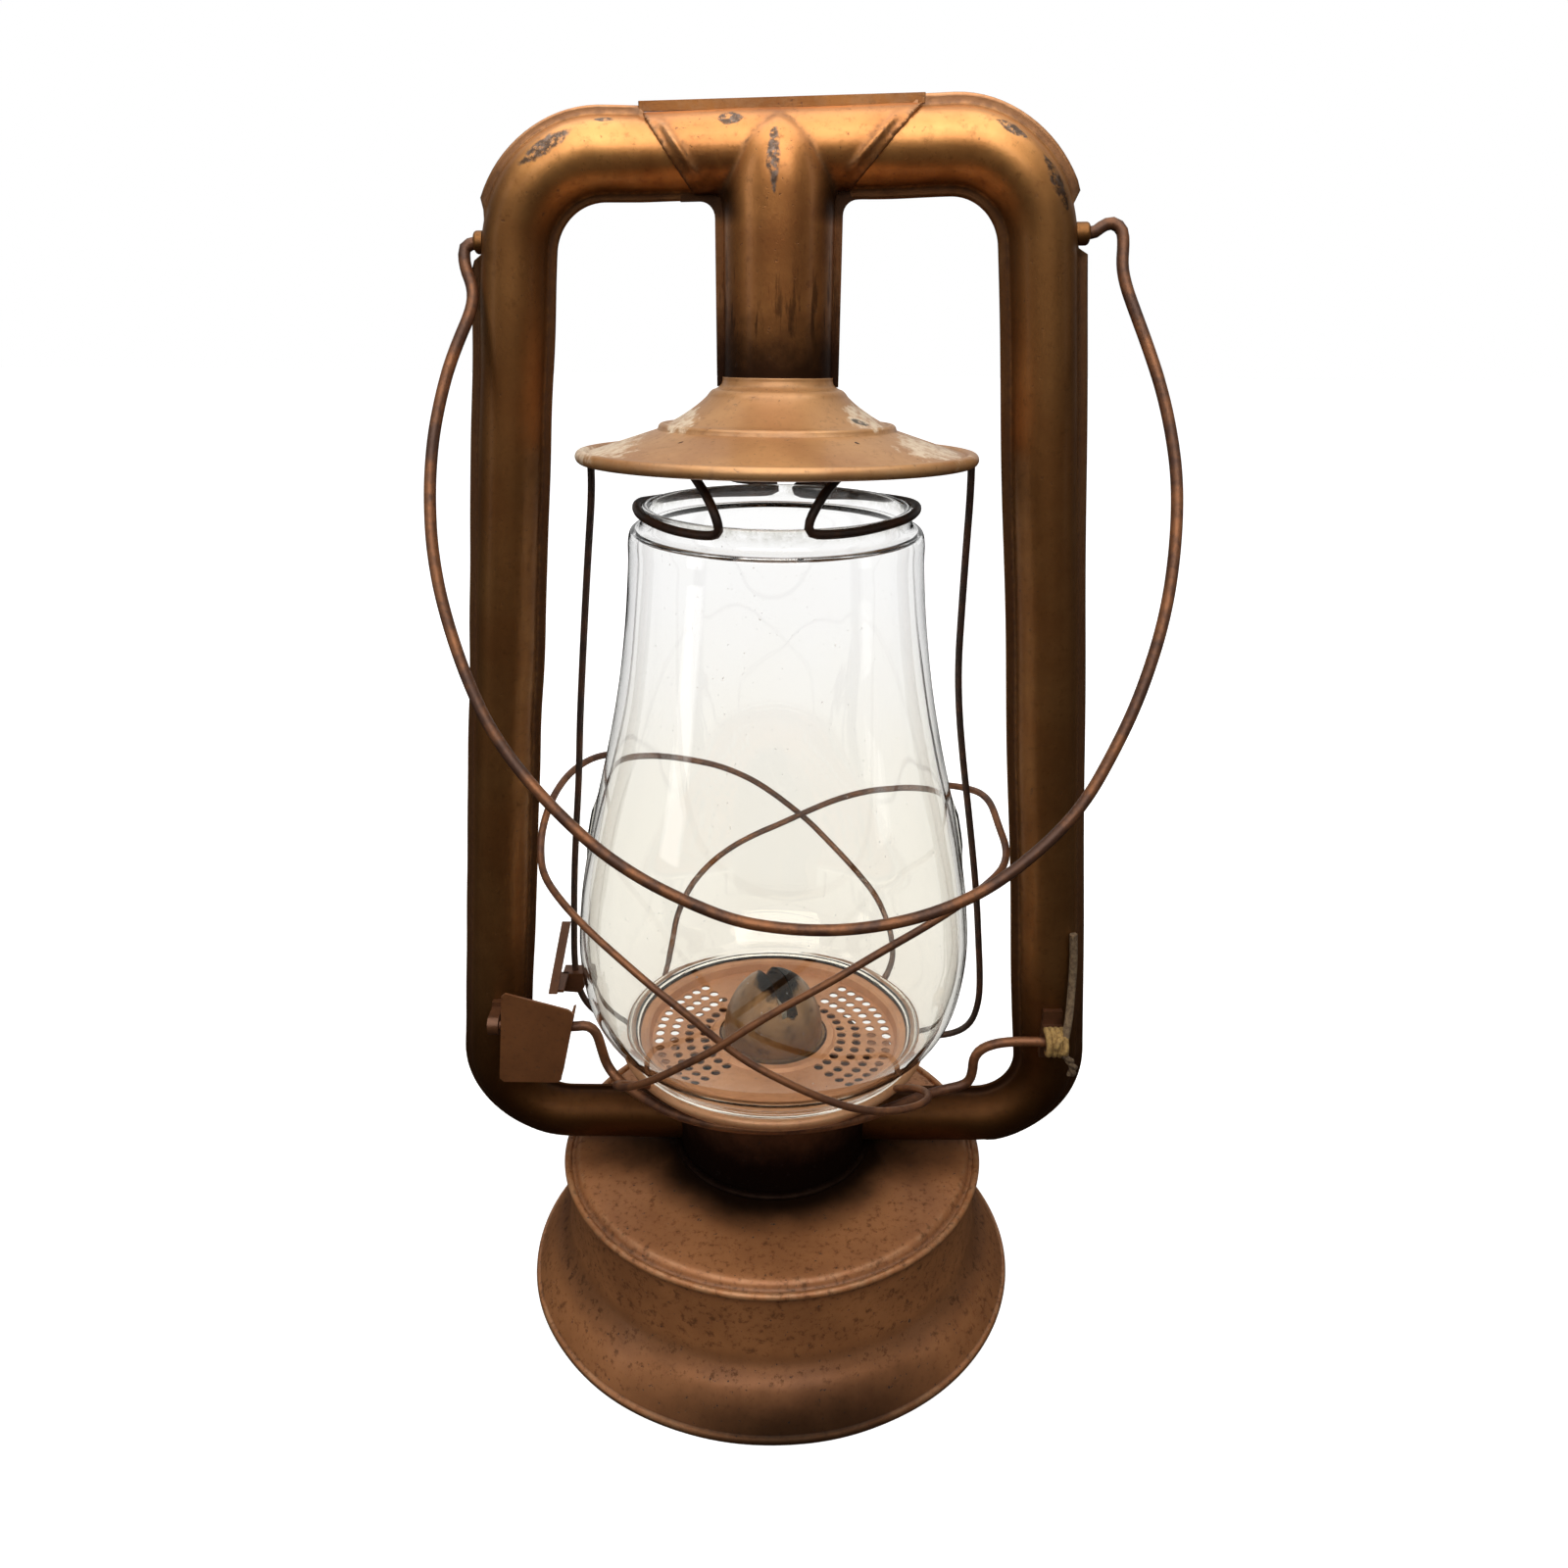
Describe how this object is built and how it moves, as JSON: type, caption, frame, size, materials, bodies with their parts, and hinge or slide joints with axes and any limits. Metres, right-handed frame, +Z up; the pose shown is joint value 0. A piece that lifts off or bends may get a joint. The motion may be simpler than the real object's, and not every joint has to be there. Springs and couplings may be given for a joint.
{
  "type": "tubular oil lantern",
  "caption": "Wick oil lantern with a tubular side frame, a lifting glass globe in a wire cage, an oil fount and a swinging wire bail",
  "frame": {"origin": "middle of the foot, on the ground", "axes": "+Z up; +X along the tube frame towards the plain right tube, with the lifting lever at -X; -Y is the front, where the bail hangs"},
  "size_m": [0.1976, 0.1586, 0.3484],
  "materials": {
    "copper_paint": "satin",
    "wire_steel": "satin",
    "burner_brass": "tarnished",
    "globe_glass": "clear",
    "wick_cotton": "matte",
    "gasket_rubber": "matte",
    "twine": "matte"
  },
  "bodies": {
    "lantern_frame": {"fount_wall": "copper_paint", "fount_foot_bead": "copper_paint", "fount_shoulder_bead": "copper_paint", "fount_top": "copper_paint", "fount_bottom": "copper_paint", "burner_collar": "burner_brass", "filler_neck": "copper_paint", "chamber_wall": "copper_paint", "chamber_foot_ring": "copper_paint", "chamber_deck": "copper_paint", "side_tube_left": "copper_paint", "side_tube_right": "copper_paint", "outer_seam_left": "copper_paint", "outer_seam_right": "copper_paint", "inner_seam_left": "copper_paint", "inner_seam_right": "copper_paint", "bail_ear_left": "copper_paint", "bail_ear_right": "copper_paint", "crown": "copper_paint", "crown_top_seam": "copper_paint", "crown_seam_left": "copper_paint", "crown_seam_right": "copper_paint", "burner_basket": "burner_brass", "wick_tube": "burner_brass", "burner_dome": "burner_brass", "lift_strap_left": "copper_paint", "lift_strap_right": "copper_paint", "twine_knot": "twine", "twine_strand": "twine", "twine_tail": "twine"},
    "bail": {"bail": "wire_steel"},
    "globe_cage": {"canopy": "copper_paint", "canopy_rim": "copper_paint", "holder_wire_left": "wire_steel", "holder_wire_right": "wire_steel", "globe": "globe_glass", "globe_plate": "copper_paint", "globe_plate_rim": "copper_paint", "guide_wire_left": "wire_steel", "guide_wire_right": "wire_steel", "guide_catch": "copper_paint", "catch_blade": "copper_paint", "guard_wire_a": "wire_steel", "guard_wire_b": "wire_steel"},
    "lift_lever": {"lift_crank": "wire_steel", "lever_plate": "copper_paint"},
    "wick_raiser": {"wick_spindle": "burner_brass", "spur_wheel_1": "burner_brass", "spur_wheel_2": "burner_brass", "wick_knob": "burner_brass"},
    "wick": {"wick": "wick_cotton"},
    "cap_gasket": {"filler_gasket": "gasket_rubber"},
    "filler_cap": {"filler_cap": "copper_paint"}
  },
  "joints": [
    {"name": "bail_swing", "type": "hinge", "parent": "lantern_frame", "child": "bail", "pos_m": [0, 0, 0.3167], "axis": [-0.9997, 0, -0.0225], "range_deg": [0, 308]},
    {"name": "globe_lift", "type": "slide", "parent": "lantern_frame", "child": "globe_cage", "axis": [0, 0, 1], "range_m": [0, 0.018]},
    {"name": "lift_turn", "type": "hinge", "parent": "lantern_frame", "child": "lift_lever", "pos_m": [0, -0.0155, 0.09645], "axis": [-0.9997, 0, 0.025], "range_deg": [0, 38]},
    {"name": "wick_rise", "type": "slide", "parent": "lantern_frame", "child": "wick", "axis": [0, 0, 1], "range_m": [-0.0058, 0.0058]},
    {"name": "wick_knob_turn", "type": "hinge", "parent": "lantern_frame", "child": "wick_raiser", "pos_m": [0.00507, 0.00237, 0.07], "axis": [-0.4226, 0.9063, 0], "range_deg": [-81, 81]},
    {"name": "cap_rise", "type": "slide", "parent": "lantern_frame", "child": "cap_gasket", "axis": [0, 0, 1], "range_m": [0, 0.0024]},
    {"name": "cap_turn", "type": "hinge", "parent": "cap_gasket", "child": "filler_cap", "pos_m": [0.0315, 0.03754, 0.0508], "axis": [0, 0, 1], "range_deg": [0, 345]}
  ],
  "couplings": [
    {"joint": "lift_turn", "follows": "globe_lift", "rad_per_m": 36.8},
    {"joint": "wick_knob_turn", "follows": "wick_rise", "rad_per_m": 241},
    {"joint": "cap_turn", "follows": "cap_rise", "rad_per_m": 2508}
  ]
}
